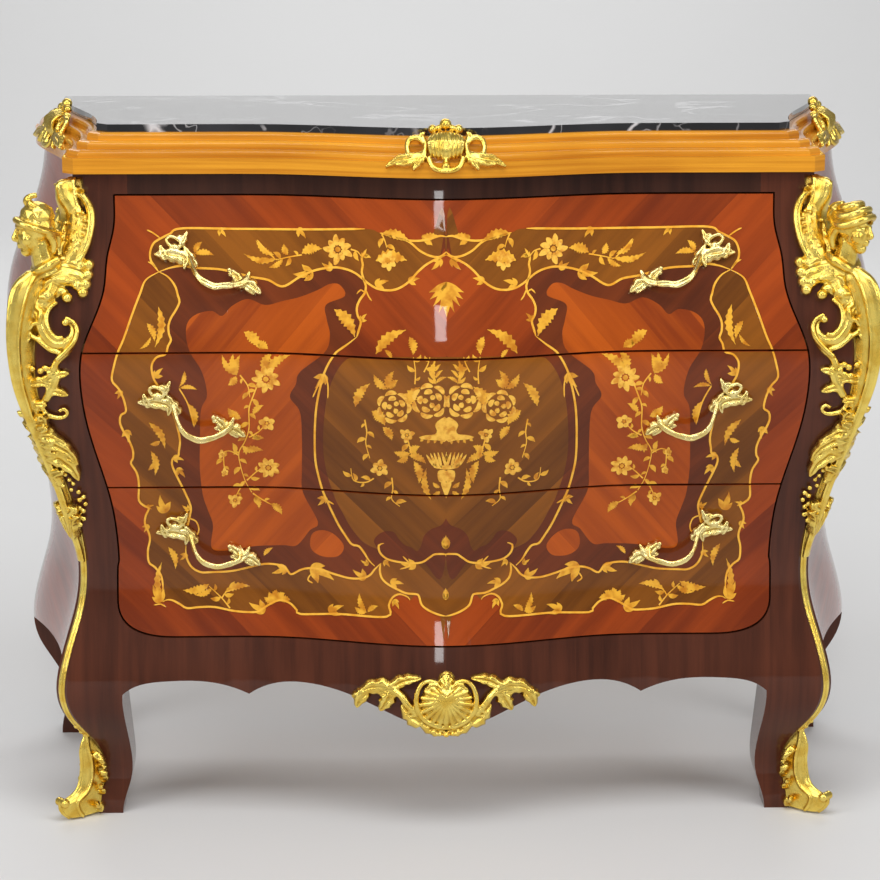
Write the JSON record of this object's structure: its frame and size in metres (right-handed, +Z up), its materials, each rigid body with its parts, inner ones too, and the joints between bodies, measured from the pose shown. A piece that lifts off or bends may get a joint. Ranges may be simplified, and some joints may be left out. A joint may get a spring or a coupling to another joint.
{
  "type": "chest of drawers",
  "caption": "Bombe chest with a bowed front of full-width drawers, inlaid veneer, gilt corner figures, leafy pulls, a scalloped apron, cabriole legs and a framed marble top.",
  "frame": {"origin": "on the floor under the middle of the chest's bounding box", "axes": "+X along the width, +Y from the front to the back, +Z up"},
  "size_m": [1.2762, 0.4919, 0.9837],
  "materials": {
    "mahogany": "dark polished veneer",
    "veneer": "inlaid veneer under gloss lacquer",
    "moulding_wood": "polished",
    "inner_wood": "bare",
    "drawer_wood": "bare",
    "marble": "polished",
    "gilt": "gilt cast brass",
    "pull_gilt": "gilt cast brass",
    "steel": "plain"
  },
  "bodies": {
    "carcass": {"apron_shell_mount": "gilt", "back_panel": "inner_wood", "back_panel_screws": "steel", "board_bearers": "inner_wood", "bottom_board": "inner_wood", "drawer_guides": "inner_wood", "drawer_stops": "inner_wood", "frieze_rail": "mahogany", "front_apron": "mahogany", "front_cartouche": "gilt", "front_moulding": "moulding_wood", "kickers": "inner_wood", "left_corner_figure": "gilt", "left_corner_strip": "gilt", "left_front_post": "mahogany", "left_front_shoe": "gilt", "left_moulding": "moulding_wood", "left_rear_post": "mahogany", "left_side_cartouche": "gilt", "left_side_panel": "veneer", "lower_dust_board": "inner_wood", "marble_top": "marble", "right_corner_figure": "gilt", "right_corner_strip": "gilt", "right_front_post": "mahogany", "right_front_shoe": "gilt", "right_moulding": "moulding_wood", "right_rear_post": "mahogany", "right_side_cartouche": "gilt", "right_side_panel": "veneer", "top_board": "inner_wood", "upper_dust_board": "inner_wood"},
    "top_drawer": {"top_drawer_back": "drawer_wood", "top_drawer_bolts": "steel", "top_drawer_bottom": "drawer_wood", "top_drawer_front": "veneer", "top_drawer_left_pull": "pull_gilt", "top_drawer_left_side": "drawer_wood", "top_drawer_right_pull": "pull_gilt", "top_drawer_right_side": "drawer_wood"},
    "middle_drawer": {"middle_drawer_back": "drawer_wood", "middle_drawer_bolts": "steel", "middle_drawer_bottom": "drawer_wood", "middle_drawer_front": "veneer", "middle_drawer_left_pull": "pull_gilt", "middle_drawer_left_side": "drawer_wood", "middle_drawer_right_pull": "pull_gilt", "middle_drawer_right_side": "drawer_wood"},
    "bottom_drawer": {"bottom_drawer_back": "drawer_wood", "bottom_drawer_bolts": "steel", "bottom_drawer_bottom": "drawer_wood", "bottom_drawer_front": "veneer", "bottom_drawer_left_pull": "pull_gilt", "bottom_drawer_left_side": "drawer_wood", "bottom_drawer_right_pull": "pull_gilt", "bottom_drawer_right_side": "drawer_wood"}
  },
  "joints": [
    {"name": "top_drawer_slide", "type": "slide", "parent": "carcass", "child": "top_drawer", "axis": [0, -1, 0], "range_m": [0, 0.3]},
    {"name": "middle_drawer_slide", "type": "slide", "parent": "carcass", "child": "middle_drawer", "axis": [0, -1, 0], "range_m": [0, 0.3]},
    {"name": "bottom_drawer_slide", "type": "slide", "parent": "carcass", "child": "bottom_drawer", "axis": [0, -1, 0], "range_m": [0, 0.3]}
  ]
}
